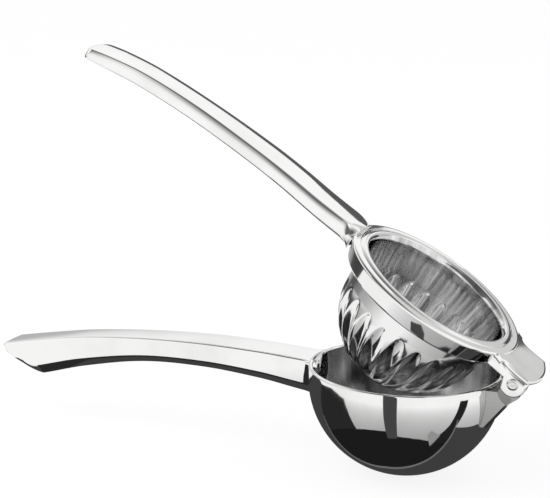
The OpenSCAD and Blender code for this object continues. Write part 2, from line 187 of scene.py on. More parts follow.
def hollowBlend(away, radius):
    # Quarter-round hollow against a wall: radius at the wall, falling to 0 that far away from it
    left = radius - np.clip(away, 0, radius)
    return radius - np.sqrt(radius ** 2 - left ** 2)


def revolve(profile, cols):
    # Carries a profile of (radius, height) points round the Z axis
    angle = np.arange(cols) / cols * 2 * math.pi
    r, z = profile[:, :1], profile[:, 1:]
    return np.stack([r * np.cos(angle), r * np.sin(angle), z + 0 * angle], axis=-1)


def circleArc(centre, radius, start, end, count):
    # Points on a circle in a plane, from one angle in degrees to another
    a = np.radians(np.linspace(start, end, count))
    return np.stack([centre[0] + radius * np.cos(a), centre[1] + radius * np.sin(a)], axis=-1)


def surfaceMap(grid, length):
    # U runs once round the axis, V along the profile in shares of a length
    around = np.arange(grid.shape[1]) / grid.shape[1]
    along = np.concatenate([[0], np.cumsum(np.linalg.norm(np.diff(grid[:, 0], axis=0), axis=-1))])
    return np.stack(np.broadcast_arrays(around[None, :], along[:, None] / length), axis=-1)


def newGroup(name, inputs, outputs):
    # An empty node group with number sockets, and the two nodes that bring them inside it
    group = bpy.data.node_groups.new(name, "ShaderNodeTree")
    for label, value in inputs.items():
        socket = group.interface.new_socket(label, in_out="INPUT", socket_type="NodeSocketFloat")
        socket.default_value = value
    for label in outputs:
        group.interface.new_socket(label, in_out="OUTPUT", socket_type="NodeSocketFloat")
    return group, group.nodes.new("NodeGroupInput"), group.nodes.new("NodeGroupOutput")


def addNode(tree, kind, inputs=None, **settings):
    node = tree.nodes.new(kind)
    for label, value in settings.items():
        setattr(node, label, value)
    for label, value in (inputs or {}).items():
        if isinstance(value, bpy.types.NodeSocket):
            tree.links.new(value, node.inputs[label])
        else:
            node.inputs[label].default_value = value
    return node


def addNoise(tree, vector, scale, detail, roughness, dimensions="3D"):
    noise = addNode(tree, "ShaderNodeTexNoise",
                    {"Vector": vector, "Scale": scale, "Detail": detail, "Roughness": roughness},
                    noise_dimensions=dimensions)
    return noise.outputs["Fac"]


def handlingGroup():
    # Faint cloudy smears and hair-fine wiping marks, as a polished kitchen tool picks up. Smears is
    # a soft mask from a wide noise, Marks is a height from a fine noise drawn out along X.
    group, start, end = newGroup("Handling", {"Smear Size": 40.0, "Mark Size": 900.0},
                                 ("Smears", "Marks"))
    place = addNode(group, "ShaderNodeTexCoord").outputs["Object"]
    cloud = addNoise(group, place, start.outputs["Smear Size"], 4.0, 0.6)
    soft = addNode(group, "ShaderNodeMapRange", {"Value": cloud, "From Min": 0.42, "From Max": 0.72})
    drawn = addNode(group, "ShaderNodeMapping", {"Vector": place, "Scale": (0.08, 1.0, 1.0)})
    wipe = addNoise(group, drawn.outputs["Vector"], start.outputs["Mark Size"], 2.0, 0.5)
    group.links.new(soft.outputs["Result"], end.inputs["Smears"])
    group.links.new(wipe, end.inputs["Marks"])
    return group


def grainGroup():
    # Satin grain that runs along the surface's own V direction, from its UV map: Grain is the fine
    # scratches, and the second output is a mask of broader brushed streaks, which the satin steels
    # also use to paint highlight streaks into their colour
    group, start, end = newGroup("SatinGrain", {"Fineness": 260.0, "Broad": 22.0},
                                 ("Grain", "GrainAndSheenStreaks"))
    place = addNode(group, "ShaderNodeUVMap", uv_map="Surface").outputs["UV"]
    drawn = addNode(group, "ShaderNodeMapping", {"Vector": place, "Scale": (1.0, 0.012, 1.0)})
    fine = addNoise(group, drawn.outputs["Vector"], start.outputs["Fineness"], 3.0, 0.6, "2D")
    broad = addNoise(group, drawn.outputs["Vector"], start.outputs["Broad"], 3.0, 0.65, "2D")
    streaks = addNode(group, "ShaderNodeMapRange", {"Value": broad, "From Min": 0.36, "From Max": 0.64})
    group.links.new(fine, end.inputs["Grain"])
    group.links.new(streaks.outputs["Result"], end.inputs["GrainAndSheenStreaks"])
    return group


# The main tone and the tone of smears or bright streaks, the least and most roughness, and how
# strongly the marks stand out. A steel with "broad" is satin, and that is how many streaks it has;
# its dark and bright tones paint streaks of shade and highlight over its brushed grain.
finishes = {
    "PolishedSteel": {"tone": (0.93, 0.93, 0.925), "second": (0.84, 0.84, 0.83),
                      "rough": (0.035, 0.09), "relief": 0.010},
    "SoftPolish": {"tone": (0.90, 0.90, 0.895), "second": (0.82, 0.82, 0.81),
                   "rough": (0.09, 0.15), "relief": 0.02},
    "RivetSteel": {"tone": (0.80, 0.80, 0.80), "second": (0.70, 0.70, 0.70),
                   "rough": (0.16, 0.26), "relief": 0.05},
    "WeldBlockSteel": {"tone": (0.46, 0.46, 0.455), "second": (0.34, 0.34, 0.335),
                       "rough": (0.12, 0.24), "relief": 0.05},
    "SatinSteel": {"tone": (0.46, 0.46, 0.46), "second": (0.88, 0.88, 0.88),
                   "rough": (0.05, 0.11), "relief": 0.04, "broad": 22.0},
    "BowlSatin": {"tone": (0.20, 0.20, 0.20), "second": (0.82, 0.82, 0.82),
                  "rough": (0.14, 0.24), "relief": 0.08, "broad": 11.0},
}
reliefHeight = 0.2 * mm


def makeSteel(name, f):
    # Metal whose mask mixes the two tones; its marks also set the roughness and a fine relief. On
    # satin steel the mask is the streak mask, so the colour carries painted highlight streaks.
    material = bpy.data.materials.new(name)
    material.use_nodes = True
    tree = material.node_tree
    shader = tree.nodes["Principled BSDF"]
    shader.inputs["Metallic"].default_value = 1.0
    if "broad" in f:
        marks = addNode(tree, "ShaderNodeGroup", {"Broad": f["broad"]}, node_tree=grain).outputs
        # Painted highlight streaks: the brushed streak mask mixes a dark tone with a bright one
        mask, dulling, height = marks["GrainAndSheenStreaks"], marks["Grain"], marks["Grain"]
    else:
        marks = addNode(tree, "ShaderNodeGroup", node_tree=handling).outputs
        mask, dulling, height = marks["Smears"], marks["Smears"], marks["Marks"]
    colour = addNode(tree, "ShaderNodeMix",
                     {0: mask, 6: (*f["tone"], 1), 7: (*f["second"], 1)}, data_type="RGBA")
    rough = addNode(tree, "ShaderNodeMapRange",
                    {"Value": dulling, "To Min": f["rough"][0], "To Max": f["rough"][1]})
    bump = addNode(tree, "ShaderNodeBump",
                   {"Height": height, "Strength": f["relief"], "Distance": reliefHeight})
    tree.links.new(colour.outputs[2], shader.inputs["Base Color"])
    tree.links.new(rough.outputs["Result"], shader.inputs["Roughness"])
    tree.links.new(bump.outputs["Normal"], shader.inputs["Normal"])
    return material


handling = handlingGroup()
grain = grainGroup()
steel = {name: makeSteel(name, finish) for name, finish in finishes.items()}
print("Materials made")


pressBowl = {
    "wall": 1.5, "skirt": 4.2,        # the skirt is the straight part between lip and hemisphere
    "cols": 288, "ballRows": 90, "lipRows": 14,
    "grainLength": 226,
}
ballZ = -pressBowl["skirt"]           # height of the hemisphere's centre


def bowlProfile(b):
    # A quarter circle, a straight skirt and a half-round lip outside, and the same inside
    ball = (0.0, ballZ)
    lip = b["wall"] / 2
    outside = circleArc(ball, bowlRadius, -90, 0, b["ballRows"])
    roll = circleArc((bowlRadius - lip, -lip), lip, 0, 180, b["lipRows"])
    inside = circleArc(ball, bowlRadius - b["wall"], 0, -90, b["ballRows"])
    profile = np.concatenate([outside, roll, inside])
    profile[[0, -1], 0] = 0
    return profile


def makeBowl(b):
    grid = revolve(bowlProfile(b), b["cols"])
    finish = np.zeros(len(grid) - 1, int)
    finish[-b["ballRows"] - 1:] = 1   # satin from the lip's inner edge down
    parts = [{"grid": grid, "finish": finish, "uv": surfaceMap(grid, b["grainLength"])}]
    piece = makeMesh("BowlShell", parts, False, [steel["PolishedSteel"], steel["BowlSatin"]])
    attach(piece, "bowl_arm")
    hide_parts("press_bowl")


makeBowl(pressBowl)
print("Bowl made")


pressCup = {
    "peelGap": 5.8,                   # from the cup's ball to the bowl's inside, with the arms closed
    "wall": 1.2, "draft": 1.3,        # the draft is how much wider the wall is at its seat
    "neckRise": 0.6, "neckOut": 0.02,                           # where the wall leaves the ball
    "seatZ": 8.25, "seatGap": 0.05, "seatIn": 0.15,
    "rimWidth": 2.8, "rimHeight": 1.7, "rimEdge": 0.75,
    "domeFrom": 1.5, "domeRise": 0.05, "domeTo": 0.9, "domeFall": 0.1,
    "throatIn": 0.12, "throatFall": 1.6,
    "rimReach": (0, 0.05, 0.2, 0.5, 1.0, 0.9, 0.9, 0),
    "fluteCount": 24, "fluteDepth": 1.5, "fluteShare": 0.88,
    "fluteFrom": 0.5, "fluteTo": 58.0,                          # degrees below the equator
    "leafSkew": 0.8, "leafWidth": 0.5, "leafDepth": 0.85,       # powers that shape a flute's ends
    "fluteEdge": 0.05,                                          # softness where it meets the ball
    "cols": 24 * 16, "ballRows": 96, "satinRows": 14, "grainLength": 180,
}
cupRadius = bowlRadius - pressBowl["wall"] - pressCup["peelGap"]


def fluteDepth(c, latitude, angle):
    # How far the wall is pressed in at a latitude and an angle round the axis: a parabola across
    # each flute, whose width and depth swell and shrink along it like a leaf's
    pitch = 2 * math.pi / c["fluteCount"]
    across = np.abs(np.mod(angle, pitch) - pitch / 2) / (pitch / 2)
    low, high = math.radians(c["fluteFrom"]), math.radians(c["fluteTo"])
    t = np.clip((latitude - low) / (high - low), 0, 1)
    leaf = np.sin(math.pi * t ** c["leafSkew"])
    width = c["fluteShare"] * np.maximum(leaf, 1e-6) ** c["leafWidth"]
    depth = c["fluteDepth"] * leaf ** c["leafDepth"] * (1 - (across / width) ** 2)
    edge = c["fluteEdge"]
    # A soft maximum of the depth and zero, cut off where it has all but faded
    return 0.5 * (depth + np.sqrt(depth ** 2 + edge ** 2)) * (depth > -3 * edge) * (leaf > 1e-4)


def cupSide(c, radius):
    # Fluted ball from its pole up to its equator, pressed in along the line to its centre
    latitude = np.linspace(math.pi / 2, 0, c["ballRows"])[:, None]
    angle = (np.arange(c["cols"]) / c["cols"] * 2 * math.pi)[None, :]
    r = radius - fluteDepth(c, latitude, angle)
    return np.stack([r * np.cos(latitude) * np.cos(angle), r * np.cos(latitude) * np.sin(angle),
                     ballZ - r * np.sin(latitude)], axis=-1)


def rimProfile(c):
    # From the outer wall out under the rolled rim, over its low dome and down the inner wall
    neckZ = ballZ + c["neckRise"]
    seat = c["seatZ"] + c["seatGap"]
    top = c["seatZ"] + c["rimHeight"]
    outerWall = cupRadius + c["draft"]
    innerWall = outerWall - c["wall"]
    outer = outerWall + c["rimWidth"]
    corners = np.array([[cupRadius + c["neckOut"], neckZ], [outerWall - c["seatIn"], seat],
                        [outer, seat], [outer, top - c["rimEdge"]],
                        [outer - c["domeFrom"], top + c["domeRise"]],
                        [innerWall + c["domeTo"], top - c["domeFall"]],
                        [innerWall - c["throatIn"], top - c["throatFall"]],
                        [cupRadius - c["wall"] + c["neckOut"], neckZ]])
    return softOutline(corners, c["rimReach"])


def makeCup(c):
    outside = cupSide(c, cupRadius)
    inside = cupSide(c, cupRadius - c["wall"])[::-1]
    rim = revolve(rimProfile(c), c["cols"])
    grid = np.concatenate([outside, rim, inside])
    finish = np.zeros(len(grid) - 1, int)
    finish[len(outside) + len(rim) - c["satinRows"]:] = 1      # the rim's inner wall, then the inside
    parts = [{"grid": grid, "finish": finish, "uv": surfaceMap(grid, c["grainLength"])}]
    piece = makeMesh("CupShell", parts, True, [steel["SoftPolish"], steel["SatinSteel"]])
    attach(piece, "cup_arm")
    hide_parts("press_cup")


makeCup(pressCup)
print("Cup made")


cupRing = {
    "foot": 2.3, "height": 7.2, "lean": 2.2, "bore": 30.1, "recess": 32.9,
    "footIn": 0.1, "footOut": 0.18, "footRise": 0.45, "topBevel": 0.7,
    "seamRise": 2.0,                  # height over the foot at which the closed section starts
    "ringReach": (0, 0.2, 0.2, 0.25, 0.6, 0.7, 0.15, 0.1, 0.1, 0),
    "cols": 288, "edgeSteps": 8,
}
tongue = {
    "from": 33.0, "root": 31.8,       # where it drops from the land, and where it starts inside
    "sink": 0.2, "fall": 3.6,         # how far below the land it leaves, and how steeply
    "thick": 2.2, "half": 13.5, "flare": 2.6, "flareIn": 1.0,
    "heelReach": 7.0, "bulge": 3.0, "support": 0.25,
    "heelCols": 81, "sideCols": 60, "noseRows": 15,
}
ear = {
    "radius": 4.9, "inner": 9.0, "outer": 13.2, "bevel": 0.6, "arc": (-125, 20),
    "webFrom": 4.4, "webEnd": 5.0, "webSink": 0.8,              # along the tongue's underside
    "footRise": 0.4, "footEnd": 1.2, "heelIn": 4.2, "heelDrop": 0.2,
    "support": 0.05, "faceIn": 0.08, "bevelRows": 7, "cols": 40,
}
landZ = cupRing["foot"] + cupRing["height"]
heelX = hingeX + tongue["heelReach"]
heelTopZ = hingeZ + ear["radius"]


def ringProfile(c):
    # Closed section of the ring: plain bore, leaning outer wall, flat land, recess for the rim
    foot, seat = c["foot"], pressCup["seatZ"]
    wallFoot = bowlRadius - c["lean"]
    seam = [c["bore"], foot + c["seamRise"]]
    corners = np.array([seam, [c["bore"], foot], [wallFoot - c["footIn"], foot],
                        [wallFoot + c["footOut"], foot + c["footRise"]],
                        [bowlRadius, landZ - c["topBevel"]], [bowlRadius - c["topBevel"], landZ],
                        [c["recess"], landZ], [c["recess"], seat], [c["bore"], seat], seam])
    return softOutline(corners, c["ringReach"], c["edgeSteps"])


def tongueTop(x):
    # The tongue's top drops steeply from the ring's land and then levels out towards its heel
    t = np.clip((heelX - x) / (heelX - tongue["from"]), 0, 1)
    return heelTopZ + (landZ - tongue["sink"] - heelTopZ) * t ** tongue["fall"]


def tongueGrid(g):
    # Top and underside are sheets over (x, y), joined by a half round that runs round their rim.
    # Seen from above, hollow blends leave the ring's wall, the sides are straight and the heel is
    # an arc.
    nose = g["thick"] / 2
    a = np.linspace(0, math.pi, g["noseRows"])
    depths = [0.0, *(nose - nose * np.cos(a)), 2 * nose]        # below the top
    insets = [nose + g["support"], *(nose - nose * np.sin(a)), nose + g["support"]]
    heelRadius = (g["half"] ** 2 + g["bulge"] ** 2) / (2 * g["bulge"])
    across = np.linspace(-1, 1, g["heelCols"])
    out = np.linspace(1, 0, g["sideCols"])[:-1]
    loops = []
    for depth, inset in zip(depths, insets):
        half = g["half"] - inset
        ends = heelX - heelRadius + np.sqrt((heelRadius - inset) ** 2 - (across * half) ** 2)
        heel = np.stack([ends, across * half], axis=-1)
        x = g["root"] + (ends[-1] - g["root"]) * out
        wide = half + hollowBlend(x - (bowlRadius - g["flareIn"]), g["flare"])
        right = np.stack([x, wide], axis=-1)
        left = np.stack([x, -wide], axis=-1)[::-1]
        loop = np.concatenate([left, heel[1:-1], right])
        loops.append(np.column_stack([loop, tongueTop(loop[:, 0]) - depth]))
    return np.stack(loops)


def earOutline(e, inset):
    # Disc round the pin, and a web from the underside of the tongue back into the ring
    disc = circleArc((hingeX, hingeZ), e["radius"] - inset, *e["arc"], e["cols"])
    webEnd = bowlRadius - e["webEnd"]
    x = np.linspace(hingeX + e["webFrom"], webEnd, e["cols"])
    over = np.stack([x, tongueTop(x) - e["webSink"]], axis=-1)
    foot = cupRing["foot"] + e["footRise"] + inset
    under = [[webEnd, foot], [bowlRadius - e["footEnd"], foot],
             [hingeX - e["heelIn"], foot - e["heelDrop"]]]
    return np.concatenate([disc, over, under])


def earGrid(e, side):
    # The outline carried across the ear, drawn in over its quarter-round outer bevel. A last row
    # just inside the edge of the outer face keeps that face flat.
    bevel = e["bevel"]
    flatEnd = e["outer"] - bevel
    steps = [(e["inner"], 0.0), (e["inner"] + e["support"], 0.0), (flatEnd - e["support"], 0.0)]
    steps += [(flatEnd + bevel * math.sin(a), bevel * (1 - math.cos(a)))
              for a in np.linspace(0, math.pi / 2, e["bevelRows"])]
    steps += [(e["outer"], bevel + e["faceIn"])]
    return np.stack([np.insert(earOutline(e, inset), 1, side * y, axis=1) for y, inset in steps])


def makeRing(c):
    parts = [{"grid": revolve(ringProfile(c), c["cols"]), "ringShaped": True},
             {"grid": tongueGrid(tongue)}, {"grid": earGrid(ear, -1)}, {"grid": earGrid(ear, 1)}]
    piece = makeMesh("CupRing", parts, True, [steel["PolishedSteel"]])
    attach(piece, "cup_arm")
    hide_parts("cup_ring")


makeRing(cupRing)
print("Ring made")


def handleSection(h, top, bottom, topHalf, sideHalf, shoulder, chamfer):
    # Half of the outline from the crown down to the belly, rounded, then mirrored to the other side.
    # The shoulder is a parabola, taken at the shares of its height that "bend" names.
    crownHalfway = 0.75               # share of the crown's height that is left half way out
    bend = np.array(h["bend"])
    out = topHalf[:, None] + (sideHalf - topHalf)[:, None] * (1 - (1 - bend) ** 2)
    down = top[:, None] - (shoulder + 0 * top)[:, None] * bend
    middle = 0 * top
    y = np.column_stack([middle, topHalf / 2, topHalf, out, sideHalf, sideHalf - chamfer[0], middle])
    z = np.column_stack([top + h["crown"], top + h["crown"] * crownHalfway, top, down,
                         bottom + chamfer[1], bottom, bottom])
    reach = [0, h["crownReach"], h["edge"], *[h["bendReach"]] * len(bend), h["edge"], h["edge"], 0]
    half = softOutline(np.stack([y, z], axis=-1), reach)
    mirrored = half[..., -2:0:-1, :] * np.array([-1, 1])
    return np.concatenate([half, mirrored], axis=-2)


bowlHandle = {
    # share of the reach, top, bottom, half width as a share of the root's width
    "rows": [(0.00, -0.2, -13.1, 0.51), (0.06, 0.2, -11.9, 0.50), (0.15, 0.7, -10.4, 0.49),
             (0.33, 0.8, -9.1, 0.47), (0.53, -0.5, -10.5, 0.42), (0.73, -3.3, -15.9, 0.395),
             (0.87, -6.6, -21.2, 0.41), (1.00, -10.1, -25.2, 0.445)],
    "width": 16.4, "length": 130.6, "blend": 2.8,
    "crown": 0.15, "crownReach": 3.0, "edge": 0.5,
    "topIn": 0.45, "shoulder": 0.5, "bend": (1.0,), "bendReach": 0.8,
    "bellyIn": 2.4, "bellyShare": (0.25, 0.27),                 # slope between side and belly
    "tipFrom": 0.87, "tipPower": 1.6, "tipThick": 0.9, "tipRound": 1.2, "tipFall": 0.4,
    "rootShare": 0.05, "rootBend": 9.0, "rootSink": 0.6,
    "rootRows": 24, "midRows": 150, "tipRows": 50,
}


def bowlHandleGrid(h):
    # Sections square to X, carried from the bowl's wall out to the raked tip; the first ones bend
    # to the wall's own curve
    rake = 1 - h["tipFrom"]
    u = np.concatenate([np.linspace(0, h["rootShare"], h["rootRows"])[:-1],
                        np.linspace(h["rootShare"], h["tipFrom"], h["midRows"]),
                        h["tipFrom"] + rake * np.sin(np.linspace(0, 1, h["tipRows"])[1:]
                                                     * math.pi / 2)])
    away = u * h["length"]
    top = curveThrough(h["rows"], u, 1)
    low = curveThrough(h["rows"], np.minimum(u, h["tipFrom"]), 2)
    t = np.clip((u - h["tipFrom"]) / rake, 0, 1)
    lift = 1 - (1 - t ** h["tipPower"]) ** (1 / h["tipPower"])
    bottom = low + lift * (top - h["tipThick"] - low)
    deep = top - bottom
    tip = h["tipRound"] * (roundEnd(h["length"] - away, h["tipRound"], 2) - 1)
    half = curveThrough(h["rows"], u, 3) * h["width"] + tip + hollowBlend(away, h["blend"])
    chamfer = (np.minimum(h["bellyIn"], deep * h["bellyShare"][0]), deep * h["bellyShare"][1])
    outline = handleSection(h, top + tip * h["tipFall"], bottom, half - h["topIn"], half,
                            h["shoulder"], chamfer)
    y, z = outline[..., 0], outline[..., 1]
    sunk = bowlRadius - h["rootSink"]
    wall = -np.sqrt(np.maximum(sunk ** 2 - y ** 2 - np.minimum(z - ballZ, 0) ** 2, 1))
    follow = np.clip(1 - away / h["rootBend"], 0, 1)[:, None] ** 2
    x = -bowlRadius - away[:, None] + follow * (wall + bowlRadius)
    return np.stack([x, y, z], axis=-1)


def makeBowlHandle(h):
    lower = makeMesh("BowlHandleBody", [{"grid": bowlHandleGrid(h)}], False,
                     [steel["PolishedSteel"]])
    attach(lower, "bowl_arm")
    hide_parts("bowl_handle")


cupHandle = {
    # share of the reach, top over the ring's land, thickness, half width of the top, half width
    "rows": [(0.00, 1.2, 6.5, 0.46, 0.53), (0.12, 1.3, 6.2, 0.465, 0.545),
             (0.25, 1.9, 5.9, 0.475, 0.545), (0.38, 1.9, 5.8, 0.475, 0.53),
             (0.60, 0.8, 5.9, 0.435, 0.485), (0.80, -1.7, 5.8, 0.455, 0.49),
             (0.92, -4.7, 5.3, 0.50, 0.53), (1.00, -7.5, 4.3, 0.51, 0.54)],
    "width": 17.4, "length": 123.5, "blend": 6.0,
    "crown": 0.40, "crownReach": 3.0, "edge": 0.7,
    "sideFoot": 1.4, "shoulderShare": 0.9, "bend": (0.18, 0.38, 0.6, 0.8, 1.0), "bendReach": 0.8,
    "bellyIn": 1.1, "bellyRise": 1.0,
    "tipReach": 3.4, "tipPower": 2.4, "bluntReach": 1.3, "bluntTop": 1.1, "bluntThick": 1.6,
    "noseX": 33.5, "noseLength": 8.0, "hideOver": 0.15,
    "least": 0.02,                    # the ends never shrink to nothing
    "midRows": 150, "endRows": 40,
}


def cupHandleGrid(h):
    # Sections square to X, from the round nose on the ring's land out to the blunt tip
    far = -bowlRadius - h["length"]
    near = -h["noseX"]
    noseX = near - h["least"] - h["noseLength"] * np.linspace(0, 1, h["endRows"]) ** 2
    tipX = far + h["tipReach"] * (1 - np.linspace(0, 1, h["endRows"])) ** 2
    x = np.concatenate([noseX, np.linspace(noseX[-1], tipX[0], h["midRows"])[1:-1], tipX])
    u = np.maximum(0, (-bowlRadius - x) / h["length"])
    toTip = x - far
    ends = np.maximum(h["least"], np.minimum(roundEnd(toTip, h["tipReach"], h["tipPower"]),
                                             roundEnd(near - x, h["noseLength"], 2)))
    blunt = 1 - roundEnd(toTip, h["bluntReach"], 2)
    top = landZ + curveThrough(h["rows"], u, 1) - h["bluntTop"] * blunt
    thick = curveThrough(h["rows"], u, 2) - h["bluntThick"] * blunt
    # The hollow blend is an arc that touches the handle's side at arcX and the ring's wall at
    # touchX. Inside the wall the sides draw in to the width of the top.
    arcX = -math.sqrt((bowlRadius + h["blend"]) ** 2 - (h["width"] / 2 + h["blend"]) ** 2)
    touchX = arcX * bowlRadius / (bowlRadius + h["blend"])
    inArc = np.clip(x - arcX, 0, touchX - arcX)
    flare = h["blend"] - np.sqrt(h["blend"] ** 2 - inArc ** 2)
    hidden = np.clip((x - touchX) / h["hideOver"], 0, 1)
    topHalf = curveThrough(h["rows"], u, 3) * h["width"] * ends
    half = curveThrough(h["rows"], u, 4) * h["width"]
    half = np.where(x < -bowlRadius - h["blend"], half * ends,
                    (half + flare) * (1 - hidden) + topHalf * hidden)
    shoulder = (thick - h["sideFoot"]) * h["shoulderShare"] * ends ** 0.5
    outline = handleSection(h, top, top - thick, topHalf, half, shoulder,
                            (h["bellyIn"] * ends, h["bellyRise"]))
    return np.stack([np.broadcast_to(x[:, None], outline.shape[:-1]), outline[..., 0],
                     outline[..., 1]], axis=-1)


def makeCupHandle(h):
    upper = makeMesh("CupHandleBody", [{"grid": cupHandleGrid(h)}], True, [steel["PolishedSteel"]])
    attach(upper, "cup_arm")
    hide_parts("cup_handle")


makeBowlHandle(bowlHandle)
makeCupHandle(cupHandle)
print("Handles made")


hingePin = {
    "radius": 1.5, "headRadius": 2.2, "headHeight": 0.7, "headGap": 0.02,
    "dishRadius": 1.5, "dishDepth": 0.35,
    "dishFlat": 4, "dishSoft": 1.5,   # powers that flatten the dish and soften its edge
    "cols": 96, "domeRows": 40,
}


def makePin(p):
    # Shank with a low domed head at each end, dished in its middle, turned about the hinge's axis
    half = ear["outer"]
    domeRadius = (p["headRadius"] ** 2 + p["headHeight"] ** 2) / (2 * p["headHeight"])
    spread = math.degrees(math.asin(p["headRadius"] / domeRadius))
    dome = circleArc((0, half + p["headHeight"] - domeRadius), domeRadius, 90, 90 - spread,
                     p["domeRows"])
    dish = np.clip(1 - (dome[:, 0] / p["dishRadius"]) ** p["dishFlat"], 0, 1) ** p["dishSoft"]
    dome[:, 1] -= p["dishDepth"] * dish
    underHead = half + p["headGap"]
    profile = np.concatenate([dome, [[p["headRadius"], underHead], [p["radius"], half],
                                     [p["radius"], -half], [p["headRadius"], -underHead]],
                              dome[::-1] * np.array([1, -1])])
    profile[[0, -1], 0] = 0
    turned = revolve(profile, p["cols"])
    grid = np.stack([hingeX + turned[..., 0], turned[..., 2], hingeZ + turned[..., 1]], axis=-1)
    piece = makeMesh("Rivet", [{"grid": grid}], True, [steel["RivetSteel"]])
    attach(piece, "cup_arm")
    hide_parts("hinge_pin")


makePin(hingePin)
bracket = frame["nodes"]["hinge_bracket"]     # its own shape is right and only gets a finish
bracket.data.materials.clear()
bracket.data.materials.append(steel["WeldBlockSteel"])
print("Pin and bracket made")


studio = {
    "floorHalf": 6.0,                 # metres
    "floorColour": (0.92, 0.92, 0.92), "floorLift": 0.88,
    "sky": 1.0, "matHeight": -0.6,
    # height of a direction over the horizon, and how much of the backdrop shows there
    "backdrop": [(0.0, 1.0), (0.08, 0.96), (0.16, 0.50), (0.26, 0.20), (0.45, 0.0)],
    # cosine of the angle from the backdrop's middle, and its tone there
    "backdropAcross": [(0.2, 1.0), (0.36, 0.93), (0.47, 0.83), (0.616, 0.69), (0.72, 0.56),
                       (0.84, 0.42), (0.92, 0.31), (0.96, 0.08), (1.0, 0.05)],
    "backdropAzimuth": -110, "ceiling": 0.12, "ceilingFrom": 0.62, "ceilingTo": 0.96,
}
# Glowing mats that lie on the table and cards that stand upright, which only reflections see: they
# are painted reflections of the surroundings, not lamps. A mat's corners are (x, y), a card's are
# (x, height) and it stands at one y, all in millimetres from the bowl's axis with the front at
# negative y. Later ones lie on top. "grey" is the tone that they show in polished steel. It changes
# to "greyFar" between two distances from the bowl's axis, counted along the axes that "along" gives.
underMiddle = (0, -15)
backEdge = [(-62, -8.4), (-37, -10.4), (-20, -12.6), (-2, -18), (20, -19), (60, -23)]
mats = {
    # PaleMat paints a reflected table that is darker near the bowl's axis and pale far out
    "PaleMat": {"grey": 0.36, "greyFar": 0.97, "near": 45, "far": 150, "along": (1, 1, 1),
                "corners": circleArc(underMiddle, 440, 0, 358, 180)},
    "LeftMat": {"grey": 0.022, "corners": [(-26, -46), (-60, -66), (-106, -90), (-138, -77),
                                           (-165, -60), (-165, 5), (-60, 0), (-20, -6)]},
    "RightMat": {"grey": 0.016, "corners": [(26, -35), (60, -33), (165, -40), (165, -10),
                                            (60, -24), (26, -20)]},
    # UnderMat paints a dark reflection round the bowl's foot
    "UnderMat": {"grey": 0.012, "corners": np.round([*circleArc(underMiddle, 43, 0, 270, 19),
                                                     *circleArc(underMiddle, 37, 285, 345, 5)], 1)},
    "Notch": {"grey": 0.30, "corners": [(27.5, -30), (42, -33), (42, -45), (34, -42)]},
    "LightLine": {"grey": 0.16, "corners": [*backEdge, (76, -25), (76, -26.6), (60, -24.6),
                                            (20, -20.4), (-2, -20), (-20, -14.4), (-37, -12),
                                            (-62, -9.6)]},
    "BackMat": {"grey": 0.050, "corners": [(-165, -8), *backEdge, (66, 45), (60, 110),
                                           (-330, 110), (-240, 60)]},
    "GapPost": {"grey": 0.06, "standAt": -48, "corners": [(1.5, 0), (9.3, 0), (9.3, 36), (8, 42),
                                                          (7, 46), (0.5, 50)]},
    "BackCard": {"grey": 0.10, "standAt": 300,
                 "corners": [(5, 110), (-34, 117), (-60, 135), (-120, 166), (-180, 178),
                             (-224, 178), (-262, 185), (-262, 222), (-224, 235), (-158, 241),
                             (-111, 228), (-59, 212), (-36, 206), (5, 218)]},
    # FrontCard paints reflected shade on the upper handle's side: bright low down, dark higher up
    "FrontCard": {"grey": 0.96, "greyFar": 0.14, "near": 190, "far": 300, "along": (0, 0, 1),
                  "standAt": -300, "corners": [(-400, 160), (260, 160), (260, 1200), (-400, 1200)]},
    "PaleCard": {"grey": 0.66, "standAt": 301,
                 "corners": [(42, 10), (420, 10), (420, 330), (42, 330)]},
    "RingCard": {"grey": 0.08, "standAt": 300,
                 "corners": [(5, 10), (190, 10), (190, 112), (90, 128), (5, 150)]},
}


def bareMaterial(name):
    # A material without its usual shader, its tree, and the socket that takes another one
    material = bpy.data.materials.new(name)
    material.use_nodes = True
    tree = material.node_tree
    tree.nodes.remove(tree.nodes["Principled BSDF"])
    return material, tree, tree.nodes["Material Output"].inputs["Surface"]


def paperMaterial(name, colour, lift):
    # Matt paper; seen by the camera it is lifted towards plain white
    material, tree, surface = bareMaterial(name)
    matt = addNode(tree, "ShaderNodeBsdfDiffuse", {"Color": (*colour, 1)})
    glow = addNode(tree, "ShaderNodeEmission", {"Color": (1, 1, 1, 1), "Strength": 1.0})
    path = addNode(tree, "ShaderNodeLightPath")
    share = addNode(tree, "ShaderNodeMath", {0: path.outputs["Is Camera Ray"], 1: lift},
                    operation="MULTIPLY")
    mix = addNode(tree, "ShaderNodeMixShader", {"Fac": share.outputs["Value"],
                                                1: matt.outputs["BSDF"],
                                                2: glow.outputs["Emission"]})
    tree.links.new(mix.outputs["Shader"], surface)
    return material


def matMaterial(name, m):
    # Glow of an even grey, or of a grey that changes with the distance from the bowl's axis or with
    # the height; only reflections see it, so it is a painted reflection
    material, tree, surface = bareMaterial(name)
    glow = addNode(tree, "ShaderNodeEmission", {"Color": (1, 1, 1, 1), "Strength": m["grey"]})
    if "greyFar" in m:
        place = addNode(tree, "ShaderNodeTexCoord")
        along = addNode(tree, "ShaderNodeMapping",
                        {"Vector": place.outputs["Object"], "Scale": m["along"]})
        away = addNode(tree, "ShaderNodeVectorMath", {0: along.outputs["Vector"]},
                       operation="LENGTH")
        level = addNode(tree, "ShaderNodeMapRange",
                        {"Value": away.outputs["Value"], "From Min": m["near"] * mm,
                         "From Max": m["far"] * mm, "To Min": m["grey"], "To Max": m["greyFar"]})
        tree.links.new(level.outputs["Result"], glow.inputs["Strength"])
    tree.links.new(glow.outputs["Emission"], surface)
    return material


